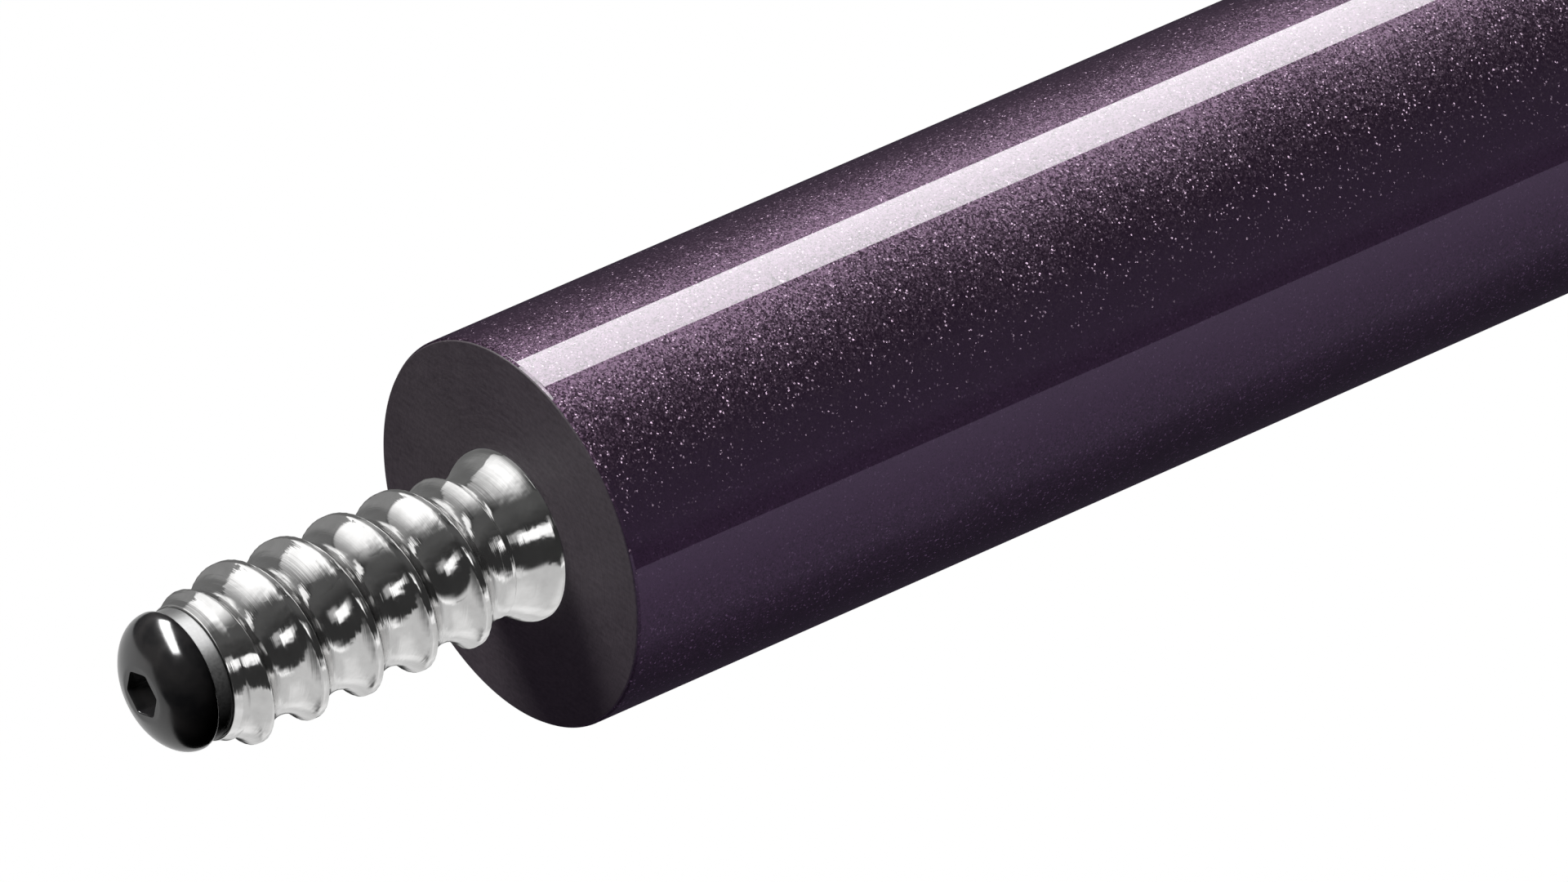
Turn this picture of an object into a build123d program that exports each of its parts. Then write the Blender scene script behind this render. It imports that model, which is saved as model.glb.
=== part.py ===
from build123d import *
from math import sqrt
import os

# Rear half (butt) of a two-piece pool cue, with its radial joint pin bare.
#
# The cue lies along X. The origin is the centre of the joint face, the pin points to -X, the butt runs to +X
# and +Z is up. All sizes are millimetres. Each separate physical piece is one node in parts/NODE.step.

# ---- driving dimensions -------------------------------------------------------------------------------
JOINT_RADIUS = 10.8            # 0.850 in joint
BUTT_RADIUS = 15.5             # radius at the rear of the butt cap
CAP_END = 729.0                # rear face of the butt cap
BUMPER_END = 738.0             # rear face of the rubber bumper
SKIN = 0.4                     # wall of the sprayed composite sleeves
GLUE = 0.03                    # radial glue gap between nested pieces
RUNNING = 0.05                 # radial clearance of a thread that turns, drawn as plain cylinders

# Radial joint pin. A place along it is stated as its distance in front of the joint face.
SHOULDER_RADIUS = 4.7625       # 3/8 in shoulder, seated in the collar
CREST_RADIUS = 4.66
ROOT_RADIUS = 3.80             # bottom of the helical groove
PITCH = 3.5
GROOVE_RADIUS = 1.86           # radius of the groove's round section
GROOVE_START = 22.4425         # where the groove's centre crosses the +Y side, in front of the tip
GROOVE_OVERCUT = 0.24          # how far the groove's cutter reaches outside the crests
GROOVE_END = 2.4               # where the groove's centre stops, in the relief beside the joint face
NECK_CENTRE = 2.5              # deepest place of the annular relief groove
NECK_ROOT = 3.88
NECK_SHOULDER_SIDE = 2.8       # radius of the relief's long arc up to the shoulder
NECK_THREAD_SIDE = 0.65        # radius of the relief's short arc up to the thread
TIP_FACE = 20.5
TIP_RADIUS = 3.70
TIP_NOSE = 0.5                 # length of the tip's nearly straight end, in front of the chamfer
TIP_CHAMFER_START = 18.7
PIN_SHANK_RADIUS = 4.40
PIN_SHANK_END = 30.0           # glued end, behind the joint face
SHOULDER_END = 4.0             # rear end of the shoulder, where a short taper leads to the shank
SHANK_START = 4.4
GLUE_GROOVES = 5               # glue grooves round the shank
GLUE_GROOVE_START = 8.0
GLUE_GROOVE_STEP = 4.2
GLUE_GROOVE_WIDTH = 1.6
GLUE_GROOVE_DEPTH = 0.35
PIN_BORE_END = 11.0            # end of the tapped hole in the tip, and its drilled point
PIN_BORE_POINT = 1.1

# Nose screw: M4 button head on a nylon washer.
WASHER_THICKNESS = 1.0
WASHER_RADIUS = 3.58
NOSE_HEAD_RADIUS = 3.78
NOSE_HEAD_HEIGHT = 2.12
NOSE_TOP_RADIUS = 1.60
NOSE_RIM = 0.18                # height of the head's short rim above its seat
NOSE_DOME = (1.62, 2.72)       # height and radius of a point half way up the domed head
NOSE_THREAD_RADIUS = 2.0
NOSE_THREAD_LENGTH = 7.0
NOSE_KEY = 2.3                 # hexagon across flats
NOSE_KEY_DEPTH = 1.3
NOSE_KEY_TURN = 45.0           # degrees from +Y to a corner of the hexagon

# Lengths along the butt.
COLLAR_FLANGE = 14.0           # thickness of the joint collar's full-diameter part
COLLAR_TENON_END = 34.0
COLLAR_TENON_RADIUS = 7.0
FOREARM_END = 300.0            # rear end of the forearm and its sleeve
TRIM_COLLAR = 5.0
TRIM_RING = 1.6
WRAP_LENGTH = 305.0
WRAP_THICKNESS = 0.8
BUTT_SLEEVE_END = 705.0
STUD_RADIUS = 4.7625           # 3/8 in stud between forearm and handle
STUD_HALF = 28.0
HOLE_SPARE = 0.5               # depth left at the bottom of a hole for a stud or an insert
HANDLE_TENON_RADIUS = 8.5      # front tenon, under the front trim
REAR_TENON_RADIUS = 11.0       # rear tenon, under the butt sleeve and cap
REAR_TENON_END = 713.0

# Weight bolt, its tapped insert and the bumper.
INSERT_RADIUS = 6.5
INSERT_START = 636.0
WEIGHT_RADIUS = 4.75           # 3/8-16 thread
WEIGHT_START = 652.0
WEIGHT_LENGTH = 36.0
KEY = 4.0                      # hexagon across flats in the weight bolt and the bumper screw
KEY_DEPTH = 4.0
BUMPER_PLUG_START = 717.0
BUMPER_PLUG_RADIUS = 9.0
BUMPER_RADIUS = 14.6
BUMPER_ROUNDING = 3.2
BUMPER_POCKET_RADIUS = 7.4     # pocket for the screw's head
BUMPER_POCKET_FLOOR = 730.6
BUMPER_WASHER = 1.0
BUMPER_HEAD_RADIUS = 6.6
BUMPER_HEAD_HEIGHT = 4.2
BUMPER_HEAD_RIM = 0.4          # height of the head's short rim above its seat
BUMPER_TOP_RADIUS = 3.2
BUMPER_DOME = (3.0, 5.0)       # height and radius of a point half way up the domed head
BUMPER_SCREW_START = 699.0
BUMPER_KEY_DEPTH = 3.4

FRONT_TRIM_START = FOREARM_END
WRAP_START = FRONT_TRIM_START + TRIM_COLLAR + TRIM_RING
WRAP_END = WRAP_START + WRAP_LENGTH
BUTT_SLEEVE_START = WRAP_END + TRIM_RING + TRIM_COLLAR
CAP_START = BUTT_SLEEVE_END + TRIM_RING
THREAD_BORE_RADIUS = WEIGHT_RADIUS + RUNNING


def outer(x):
    """Radius of the butt's straight taper at a place x behind the joint face."""
    return JOINT_RADIUS + (BUTT_RADIUS - JOINT_RADIUS) * x / CAP_END


def turned(*outline):
    """Solid turned about X from a closed outline of (x, r) points. ("arc", through, end) bends to end."""
    edges = []
    first = here = outline[0]
    for step in outline[1:] + (first,):
        if step[0] == "arc":
            edges.append(ThreePointArc(here, step[1], step[2]))
            here = step[2]
        elif step != here:
            edges.append(Line(here, step))
            here = step
    return revolve(make_face(Curve() + edges), Axis.X)


def tapered_tube(start, end, depth, inner):
    """Tube from start to end whose outside lies depth under the taper and whose bore is cylindrical."""
    return turned((start, inner), (start, outer(start) - depth), (end, outer(end) - depth), (end, inner))


def tapered_ring(start, end, wall):
    """Plain sleeve of an even wall that follows the taper."""
    return turned(
        (start, outer(start) - wall),
        (start, outer(start)),
        (end, outer(end)),
        (end, outer(end) - wall),
    )


def skin(start, end, edge=0.12):
    """Thin sprayed sleeve that follows the taper, with both outer edges broken."""
    return turned(
        (start, outer(start) - SKIN),
        (start, outer(start) - edge),
        (start + edge, outer(start)),
        (end - edge, outer(end)),
        (end, outer(end) - edge),
        (end, outer(end) - SKIN),
    )


def ring(start, end, inner, edge=0.25):
    """Trim ring that follows the taper, with its outer edges broken."""
    return turned(
        (start, inner),
        (start, outer(start) - edge),
        (start + edge, outer(start)),
        (end - edge, outer(end)),
        (end, outer(end) - edge),
        (end, inner),
    )


def hexagonal_hole(mouth, floor, across, turn=0.0):
    """Hexagonal prism along X between two places, to cut a key socket."""
    plane = Plane(origin=(min(mouth, floor), 0, 0), x_dir=(0, 1, 0), z_dir=(1, 0, 0))
    hexagon = plane * RegularPolygon(radius=across / 2, side_count=6, major_radius=False, rotation=turn)
    return extrude(hexagon, abs(mouth - floor), dir=(1, 0, 0))


# ---- joint pin and nose -------------------------------------------------------------------------------
def helical_groove():
    """Right-handed round groove, from in front of the tip into the relief groove beside the joint face."""
    centre = ROOT_RADIUS + GROOVE_RADIUS
    top = CREST_RADIUS + GROOVE_OVERCUT
    half = sqrt(GROOVE_RADIUS**2 - (centre - top) ** 2)
    section = Plane.XZ * make_face(
        ThreePointArc((top, -half), (ROOT_RADIUS, 0), (top, half)) + Line((top, half), (top, -half))
    )
    path = Helix(pitch=PITCH, height=GROOVE_START - GROOVE_END, radius=centre)
    groove = sweep(section, path=path, is_frenet=True)
    return Plane(origin=(-GROOVE_START, 0, 0), x_dir=(0, 1, 0), z_dir=(1, 0, 0)) * groove


def relief_radius(s, side):
    """Radius of the relief groove at s in front of the joint face, on the arc whose radius is side."""
    return NECK_ROOT + side - sqrt(side**2 - (s - NECK_CENTRE) ** 2)


def glue_grooves():
    """Outline of the grooves that hold glue round the shank."""
    points = []
    low = PIN_SHANK_RADIUS - GLUE_GROOVE_DEPTH
    for n in range(GLUE_GROOVES):
        start = GLUE_GROOVE_START + n * GLUE_GROOVE_STEP
        end = start + GLUE_GROOVE_WIDTH
        points += [
            (start, PIN_SHANK_RADIUS),
            (start + GLUE_GROOVE_DEPTH, low),
            (end - GLUE_GROOVE_DEPTH, low),
            (end, PIN_SHANK_RADIUS),
        ]
    return points


def joint_pin():
    """Solid pin: glued shank behind the joint face, then shoulder, relief, threaded length and tapped tip."""
    thread_start = NECK_CENTRE + NECK_THREAD_SIDE
    thread_middle = NECK_CENTRE + NECK_THREAD_SIDE * sqrt(0.5)
    shoulder_rise = NECK_ROOT + NECK_SHOULDER_SIDE - SHOULDER_RADIUS
    shoulder_edge = NECK_CENTRE - sqrt(NECK_SHOULDER_SIDE**2 - shoulder_rise**2)
    shoulder_middle = (shoulder_edge + NECK_CENTRE) / 2
    bore, shank_edge, tip_edge = NOSE_THREAD_RADIUS + RUNNING, 0.8, 0.12
    body = turned(
        (0.0, SHOULDER_RADIUS),
        (SHOULDER_END, SHOULDER_RADIUS),
        (SHANK_START, PIN_SHANK_RADIUS),
        *glue_grooves(),
        (PIN_SHANK_END - shank_edge, PIN_SHANK_RADIUS),
        (PIN_SHANK_END, PIN_SHANK_RADIUS - shank_edge),
        (PIN_SHANK_END, 0.0),
        (-PIN_BORE_END, 0.0),
        (-PIN_BORE_END - PIN_BORE_POINT, bore),
        (-TIP_FACE, bore),
        (-TIP_FACE, TIP_RADIUS - tip_edge),
        (-TIP_FACE + tip_edge, TIP_RADIUS),
        (-TIP_FACE + TIP_NOSE, TIP_RADIUS + tip_edge),
        (-TIP_CHAMFER_START, CREST_RADIUS),
        (-thread_start, CREST_RADIUS),
        (-thread_start, NECK_ROOT + NECK_THREAD_SIDE),
        ("arc", (-thread_middle, relief_radius(thread_middle, NECK_THREAD_SIDE)), (-NECK_CENTRE, NECK_ROOT)),
        ("arc", (-shoulder_middle, relief_radius(shoulder_middle, NECK_SHOULDER_SIDE)),
         (-shoulder_edge, SHOULDER_RADIUS)),
    )
    return body - helical_groove()


def nose_washer():
    back, front, edge = -TIP_FACE, -TIP_FACE - WASHER_THICKNESS, 0.12
    inner = NOSE_THREAD_RADIUS + RUNNING
    return turned(
        (back, inner),
        (back, WASHER_RADIUS - edge),
        (back - edge, WASHER_RADIUS),
        (front + edge, WASHER_RADIUS),
        (front, WASHER_RADIUS - edge),
        (front, inner),
    )


def nose_screw():
    """Button-head screw whose threaded length is a plain cylinder."""
    seat = -TIP_FACE - WASHER_THICKNESS
    top = seat - NOSE_HEAD_HEIGHT
    end = seat + NOSE_THREAD_LENGTH
    dome_height, dome_radius = NOSE_DOME
    point, under_edge = 0.4, 0.1
    body = turned(
        (end, 0.0),
        (end, NOSE_THREAD_RADIUS - point),
        (end - point, NOSE_THREAD_RADIUS),
        (seat, NOSE_THREAD_RADIUS),
        (seat, NOSE_HEAD_RADIUS - under_edge),
        (seat - NOSE_RIM, NOSE_HEAD_RADIUS),
        ("arc", (seat - dome_height, dome_radius), (top, NOSE_TOP_RADIUS)),
        (top, 0.0),
    )
    return body - hexagonal_hole(top, top + NOSE_KEY_DEPTH, NOSE_KEY, NOSE_KEY_TURN)


# ---- forearm ------------------------------------------------------------------------------------------
def joint_collar():
    """Phenolic collar: a full-diameter flange with the joint face, and a tenon glued into the forearm."""
    under, edge, tenon_edge, end_gap = SKIN + GLUE, 0.1, 0.5, 0.2
    front = JOINT_RADIUS - under
    return turned(
        (0.0, SHOULDER_RADIUS + GLUE),
        (0.0, front - edge),
        (edge, front),
        (COLLAR_FLANGE, outer(COLLAR_FLANGE) - under),
        (COLLAR_FLANGE, COLLAR_TENON_RADIUS),
        (COLLAR_TENON_END - tenon_edge, COLLAR_TENON_RADIUS),
        (COLLAR_TENON_END, COLLAR_TENON_RADIUS - tenon_edge),
        (COLLAR_TENON_END, 0.0),
        (PIN_SHANK_END + end_gap, 0.0),
        (PIN_SHANK_END + end_gap, PIN_SHANK_RADIUS + GLUE),
        (SHANK_START, PIN_SHANK_RADIUS + GLUE),
        (SHANK_START - end_gap, SHOULDER_RADIUS + GLUE),
    )


def forearm_core():
    """Maple forearm, bored at the front for the collar's tenon and at the rear for the stud."""
    under, drill_point, end_gap = SKIN + GLUE, 1.5, 0.2
    stud_hole = FOREARM_END - STUD_HALF - HOLE_SPARE
    return turned(
        (COLLAR_FLANGE, COLLAR_TENON_RADIUS + GLUE),
        (COLLAR_FLANGE, outer(COLLAR_FLANGE) - under),
        (FOREARM_END, outer(FOREARM_END) - under),
        (FOREARM_END, STUD_RADIUS + GLUE),
        (stud_hole, STUD_RADIUS + GLUE),
        (stud_hole - drill_point, 0.0),
        (COLLAR_TENON_END + end_gap, 0.0),
        (COLLAR_TENON_END + end_gap, COLLAR_TENON_RADIUS + GLUE),
    )


def handle_stud():
    start, end, edge = FOREARM_END - STUD_HALF, FOREARM_END + STUD_HALF, 0.6
    return turned(
        (start, 0.0),
        (start, STUD_RADIUS - edge),
        (start + edge, STUD_RADIUS),
        (end - edge, STUD_RADIUS),
        (end, STUD_RADIUS - edge),
        (end, 0.0),
    )


# ---- handle -------------------------------------------------------------------------------------------
def handle_core():
    """One length of maple: front tenon, tapered grip, and a long tenon under the butt sleeve."""
    under = WRAP_THICKNESS + GLUE
    stud_point, insert_point = 1.5, 2.0
    stud_hole = FOREARM_END + STUD_HALF + HOLE_SPARE
    insert_hole = INSERT_START - HOLE_SPARE
    return turned(
        (FOREARM_END + GLUE, STUD_RADIUS + GLUE),
        (FOREARM_END + GLUE, HANDLE_TENON_RADIUS),
        (WRAP_START, HANDLE_TENON_RADIUS),
        (WRAP_START, outer(WRAP_START) - under),
        (WRAP_END, outer(WRAP_END) - under),
        (WRAP_END, REAR_TENON_RADIUS),
        (REAR_TENON_END, REAR_TENON_RADIUS),
        (REAR_TENON_END, INSERT_RADIUS + GLUE),
        (insert_hole, INSERT_RADIUS + GLUE),
        (insert_hole - insert_point, 0.0),
        (stud_hole + stud_point, 0.0),
        (stud_hole, STUD_RADIUS + GLUE),
    )


def handle_wrap():
    """Linen wrap as a plain sleeve, flush with the taper."""
    gap = 0.02
    return tapered_ring(WRAP_START + gap, WRAP_END - gap, WRAP_THICKNESS)


def trim():
    """The collars and rings at both ends of the wrap and in front of the butt cap."""
    front, rear = HANDLE_TENON_RADIUS + GLUE, REAR_TENON_RADIUS + GLUE
    return {
        "front_trim_collar": ring(FRONT_TRIM_START, FRONT_TRIM_START + TRIM_COLLAR, front),
        "front_trim_ring": ring(FRONT_TRIM_START + TRIM_COLLAR, WRAP_START, front),
        "rear_trim_ring": ring(WRAP_END, WRAP_END + TRIM_RING, rear),
        "rear_trim_collar": ring(WRAP_END + TRIM_RING, BUTT_SLEEVE_START, rear),
        "butt_trim_ring": ring(BUTT_SLEEVE_END, CAP_START, rear),
    }


# ---- butt ---------------------------------------------------------------------------------------------
def butt_core():
    return tapered_tube(BUTT_SLEEVE_START, BUTT_SLEEVE_END, SKIN + GLUE, REAR_TENON_RADIUS + GLUE)


def butt_cap():
    """Black cap: a socket for the handle's tenon in front and a socket for the bumper's plug behind."""
    edge, front_edge, plug_gap, end_gap = 0.6, 0.2, 0.2, 0.1
    turned_back = edge * (1 - sqrt(0.5))
    plug_floor = BUMPER_PLUG_START - 0.3
    return turned(
        (CAP_START, REAR_TENON_RADIUS + GLUE),
        (CAP_START, outer(CAP_START) - front_edge),
        (CAP_START + front_edge, outer(CAP_START)),
        (CAP_END - edge, outer(CAP_END - edge)),
        ("arc", (CAP_END - turned_back, outer(CAP_END) - turned_back), (CAP_END, outer(CAP_END) - edge)),
        (CAP_END, BUMPER_PLUG_RADIUS + plug_gap),
        (plug_floor, BUMPER_PLUG_RADIUS + plug_gap),
        (plug_floor, INSERT_RADIUS + GLUE),
        (REAR_TENON_END + end_gap, INSERT_RADIUS + GLUE),
        (REAR_TENON_END + end_gap, REAR_TENON_RADIUS + GLUE),
    )


def weight_insert():
    """Tapped brass tube glued up the middle of the handle's rear tenon."""
    edge = 0.4
    return turned(
        (INSERT_START, THREAD_BORE_RADIUS),
        (INSERT_START, INSERT_RADIUS - edge),
        (INSERT_START + edge, INSERT_RADIUS),
        (REAR_TENON_END, INSERT_RADIUS),
        (REAR_TENON_END, THREAD_BORE_RADIUS + edge),
        (REAR_TENON_END - edge, THREAD_BORE_RADIUS),
    )


def weight_bolt():
    end, edge = WEIGHT_START + WEIGHT_LENGTH, 0.6
    body = turned(
        (WEIGHT_START, 0.0),
        (WEIGHT_START, WEIGHT_RADIUS - edge),
        (WEIGHT_START + edge, WEIGHT_RADIUS),
        (end - edge, WEIGHT_RADIUS),
        (end, WEIGHT_RADIUS - edge),
        (end, 0.0),
    )
    return body - hexagonal_hole(end, end - KEY_DEPTH, KEY)


def bumper():
    """Rubber bumper: plug in the cap, rounded foot, and a pocket for the screw that holds it."""
    step, edge, draft, pocket_edge = 0.2, 0.5, 0.4, 0.4
    rounded = BUMPER_ROUNDING * (1 - sqrt(0.5))
    foot_radius = BUMPER_RADIUS - draft
    return turned(
        (BUMPER_PLUG_START, THREAD_BORE_RADIUS),
        (BUMPER_PLUG_START, BUMPER_PLUG_RADIUS - edge),
        (BUMPER_PLUG_START + edge, BUMPER_PLUG_RADIUS),
        (CAP_END + step, BUMPER_PLUG_RADIUS),
        (CAP_END + step, BUMPER_RADIUS),
        (BUMPER_END - BUMPER_ROUNDING, foot_radius),
        ("arc", (BUMPER_END - rounded, foot_radius - rounded), (BUMPER_END, foot_radius - BUMPER_ROUNDING)),
        (BUMPER_END, BUMPER_POCKET_RADIUS + pocket_edge),
        (BUMPER_END - pocket_edge, BUMPER_POCKET_RADIUS),
        (BUMPER_POCKET_FLOOR, BUMPER_POCKET_RADIUS),
        (BUMPER_POCKET_FLOOR, THREAD_BORE_RADIUS),
    )


def bumper_washer():
    edge, clearance = 0.1, 0.1
    front, back = BUMPER_POCKET_FLOOR, BUMPER_POCKET_FLOOR + BUMPER_WASHER
    rim = BUMPER_POCKET_RADIUS - clearance
    return turned(
        (front, THREAD_BORE_RADIUS),
        (front, rim),
        (back - edge, rim),
        (back, rim - edge),
        (back, THREAD_BORE_RADIUS),
    )


def bumper_screw():
    """Button-head screw through the washer and the rubber into the tapped insert."""
    seat = BUMPER_POCKET_FLOOR + BUMPER_WASHER
    top = seat + BUMPER_HEAD_HEIGHT
    dome_height, dome_radius = BUMPER_DOME
    point, under_edge = 0.7, 0.1
    body = turned(
        (BUMPER_SCREW_START, 0.0),
        (BUMPER_SCREW_START, WEIGHT_RADIUS - point),
        (BUMPER_SCREW_START + point, WEIGHT_RADIUS),
        (seat, WEIGHT_RADIUS),
        (seat, BUMPER_HEAD_RADIUS - under_edge),
        (seat + BUMPER_HEAD_RIM, BUMPER_HEAD_RADIUS),
        ("arc", (seat + dome_height, dome_radius), (top, BUMPER_TOP_RADIUS)),
        (top, 0.0),
    )
    return body - hexagonal_hole(top, top - BUMPER_KEY_DEPTH, KEY)


def build():
    """All nodes by name."""
    return {
        "joint_pin": joint_pin(),
        "nose_washer": nose_washer(),
        "nose_screw": nose_screw(),
        "joint_collar": joint_collar(),
        "forearm_core": forearm_core(),
        "forearm_sleeve": skin(0.0, FOREARM_END),
        "handle_stud": handle_stud(),
        "handle_core": handle_core(),
        "handle_wrap": handle_wrap(),
        **trim(),
        "butt_core": butt_core(),
        "butt_sleeve": skin(BUTT_SLEEVE_START, BUTT_SLEEVE_END),
        "butt_cap": butt_cap(),
        "weight_insert": weight_insert(),
        "weight_bolt": weight_bolt(),
        "bumper": bumper(),
        "bumper_washer": bumper_washer(),
        "bumper_screw": bumper_screw(),
    }


os.makedirs("parts", exist_ok=True)
for name, shape in build().items():
    export_step(shape, f"parts/{name}.step")
    print(f"{name}: {shape.volume:.0f} mm3")
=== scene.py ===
"""Looks of the pool cue butt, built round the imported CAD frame.

The cue lies along X with its joint face at the origin, the pin points to -X and +Z is up. Outlines are in
millimetres, as the part is designed, and are turned into metres as a mesh is made.
"""
from math import asin, cos, pi, radians, sin, sqrt, tan, tau

import bpy
import numpy as np
from mathutils import Matrix, Vector


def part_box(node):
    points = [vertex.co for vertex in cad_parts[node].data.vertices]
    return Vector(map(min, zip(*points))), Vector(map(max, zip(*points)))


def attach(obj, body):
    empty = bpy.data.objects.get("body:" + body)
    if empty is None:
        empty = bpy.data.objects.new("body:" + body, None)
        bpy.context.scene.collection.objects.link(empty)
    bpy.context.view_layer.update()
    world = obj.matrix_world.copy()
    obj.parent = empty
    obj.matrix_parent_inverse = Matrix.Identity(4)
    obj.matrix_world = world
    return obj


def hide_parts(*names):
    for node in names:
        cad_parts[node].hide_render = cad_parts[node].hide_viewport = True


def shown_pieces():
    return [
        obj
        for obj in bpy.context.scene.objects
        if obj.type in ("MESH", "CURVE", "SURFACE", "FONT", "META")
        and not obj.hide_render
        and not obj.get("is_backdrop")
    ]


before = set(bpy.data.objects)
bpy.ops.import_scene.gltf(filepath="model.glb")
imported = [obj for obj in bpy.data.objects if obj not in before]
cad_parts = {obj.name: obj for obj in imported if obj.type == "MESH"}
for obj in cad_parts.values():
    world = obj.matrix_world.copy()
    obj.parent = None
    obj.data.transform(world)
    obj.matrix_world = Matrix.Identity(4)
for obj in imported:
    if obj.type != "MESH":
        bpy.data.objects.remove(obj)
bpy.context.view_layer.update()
scene = bpy.context.scene
scene.view_settings.view_transform = "Standard"
MM = 0.001
AROUND = 256                   # points round a large turned piece
AROUND_SMALL = 192             # points round a screw's head or a small washer


# ---- camera --------------------------------------------------------------------------------------
VIEW_AZIMUTH = radians(-39.3)
VIEW_ELEVATION = radians(32.4)
VIEW_DISTANCE = 0.560          # from the camera to the joint face
AIM_RIGHT = 0.01431            # the picture's centre, to the right of and above the joint face's centre
AIM_UP = 0.00486
LENS = 247.65                  # in millimetres, as the sensor is
SENSOR = 36


def make_camera():
    a, e = VIEW_AZIMUTH, VIEW_ELEVATION
    right = Vector((cos(a), sin(a), 0))
    up = Vector((-sin(a) * sin(e), cos(a) * sin(e), cos(e)))
    back = Vector((sin(a) * cos(e), -cos(a) * cos(e), sin(e)))
    data = bpy.data.cameras.new("camera")
    data.lens = LENS
    data.sensor_width = SENSOR
    data.clip_start = 0.01
    camera = bpy.data.objects.new("camera", data)
    scene.collection.objects.link(camera)
    camera.rotation_mode = "QUATERNION"
    camera.rotation_quaternion = back.to_track_quat("Z", "Y")
    camera.location = AIM_RIGHT * right + AIM_UP * up + VIEW_DISTANCE * back
    scene.camera = camera


make_camera()


# ---- node helpers --------------------------------------------------------------------------------
class Nodes:
    """A material's node tree, with short calls that add a node and return its output socket."""

    def __init__(self, name):
        self.material = bpy.data.materials.new(name)
        self.material.use_nodes = True
        self.tree = self.material.node_tree
        self.shader = self.tree.nodes["Principled BSDF"]
        self.output = self.tree.nodes["Material Output"]

    def add(self, kind, settings=None, **inputs):
        node = self.tree.nodes.new("ShaderNode" + kind)
        for key, value in (settings or {}).items():
            setattr(node, key, value)
        for key, value in inputs.items():
            self.put(node, key, value)
        return node

    def put(self, node, key, value):
        socket = node.inputs[key.replace("_", " ") if isinstance(key, str) else key]
        if isinstance(value, bpy.types.NodeSocket):
            self.tree.links.new(value, socket)
        else:
            socket.default_value = value

    def math(self, operation, a, b=0.0, clamp=False):
        node = self.tree.nodes.new("ShaderNodeMath")
        node.operation = operation
        node.use_clamp = clamp
        self.put(node, 0, a)
        self.put(node, 1, b)
        return node.outputs[0]

    def vector(self, operation, a, b=(0, 0, 0)):
        node = self.tree.nodes.new("ShaderNodeVectorMath")
        node.operation = operation
        self.put(node, 0, a)
        if operation == "SCALE":
            self.put(node, "Scale", b)
        else:
            self.put(node, 1, b)
        return node.outputs[0]

    def place(self):
        return self.add("TexCoord").outputs["Object"]

    def wound(self, stretch):
        """Coordinates from the lathe map, round and along the piece in metres, scaled by stretch."""
        uv = self.add("UVMap", {"uv_map": "lathe"}).outputs[0]
        return self.vector("MULTIPLY", uv, stretch)

    def noise(self, at, scale, detail, roughness=0.5):
        node = self.add("TexNoise", Vector=at, Scale=scale, Detail=detail, Roughness=roughness)
        return node.outputs["Fac"]

    def ramp(self, value, *stops):
        """Colour ramp with stops of (position, (r, g, b) or grey)."""
        node = self.add("ValToRGB", Fac=value)
        elements = node.color_ramp.elements
        while len(elements) < len(stops):
            elements.new(0.5)
        for element, (position, colour) in zip(elements, stops):
            element.position = position
            grey = not hasattr(colour, "__len__")
            element.color = (colour, colour, colour, 1) if grey else (*colour, 1)
        return node.outputs["Color"]

    def spread(self, value, low, high, to_low, to_high):
        node = self.add("MapRange", Value=value)
        for key, number in (("From Min", low), ("From Max", high), ("To Min", to_low), ("To Max", to_high)):
            self.put(node, key, number)
        return node.outputs["Result"]

    def mix(self, share, a, b):
        node = self.add("MixRGB")
        self.put(node, "Fac", share)
        self.put(node, "Color1", a if isinstance(a, bpy.types.NodeSocket) else (*a, 1))
        self.put(node, "Color2", b if isinstance(b, bpy.types.NodeSocket) else (*b, 1))
        return node.outputs["Color"]

    def bump(self, height, distance, strength, normal=None):
        node = self.add("Bump", Height=height, Distance=distance, Strength=strength)
        if normal is not None:
            self.put(node, "Normal", normal)
        return node.outputs["Normal"]

    def surface(self, **inputs):
        for key, value in inputs.items():
            name = key.replace("_", " ")
            if name.endswith("Color") and not isinstance(value, bpy.types.NodeSocket):
                value = (*value, 1)
            self.put(self.shader, name, value)
        return self.material


# ---- materials -----------------------------------------------------------------------------------
FLAKE = 0.000085               # size of one metallic flake, in metres
LYING, STANDING = 0.955, 0.965      # flakes numbered below the first lie flat, past the second they stand
CENTRE = (0.5, 0.5, 0.5)            # middle of the random colours


def flake_lacquer():
    """Deep purple lacquer full of fine metallic flakes under a thick clear coat.

    Most flakes lie nearly flat. A few stand up and sparkle. The layer that holds them waves a little.
    """
    n = Nodes("flake_lacquer")
    at = n.place()
    flake = n.add("TexVoronoi", Vector=at, Scale=1 / FLAKE).outputs["Color"]
    choice = n.add("SeparateColor", Color=flake).outputs["Blue"]
    lean = n.spread(choice, LYING, STANDING, 0.42, 1.05)
    tilt = n.vector("SCALE", n.vector("SUBTRACT", flake, CENTRE), lean)
    wave = n.add("TexNoise", Vector=at, Scale=110.0, Detail=2.0).outputs["Color"]
    sway = n.vector("SCALE", n.vector("SUBTRACT", wave, CENTRE), 0.22)
    normal = n.add("NewGeometry").outputs["Normal"]
    tilted = n.vector("NORMALIZE", n.vector("ADD", n.vector("ADD", normal, tilt), sway))
    tone = n.ramp(choice, (0.0, (0.058, 0.034, 0.057)), (LYING, (0.076, 0.046, 0.075)),
                  (STANDING, (0.22, 0.16, 0.215)))
    return n.surface(Base_Color=tone, Metallic=0.9, Roughness=0.42, Normal=tilted,
                     Coat_Weight=1.0, Coat_Roughness=0.012, Coat_IOR=1.5)


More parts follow.
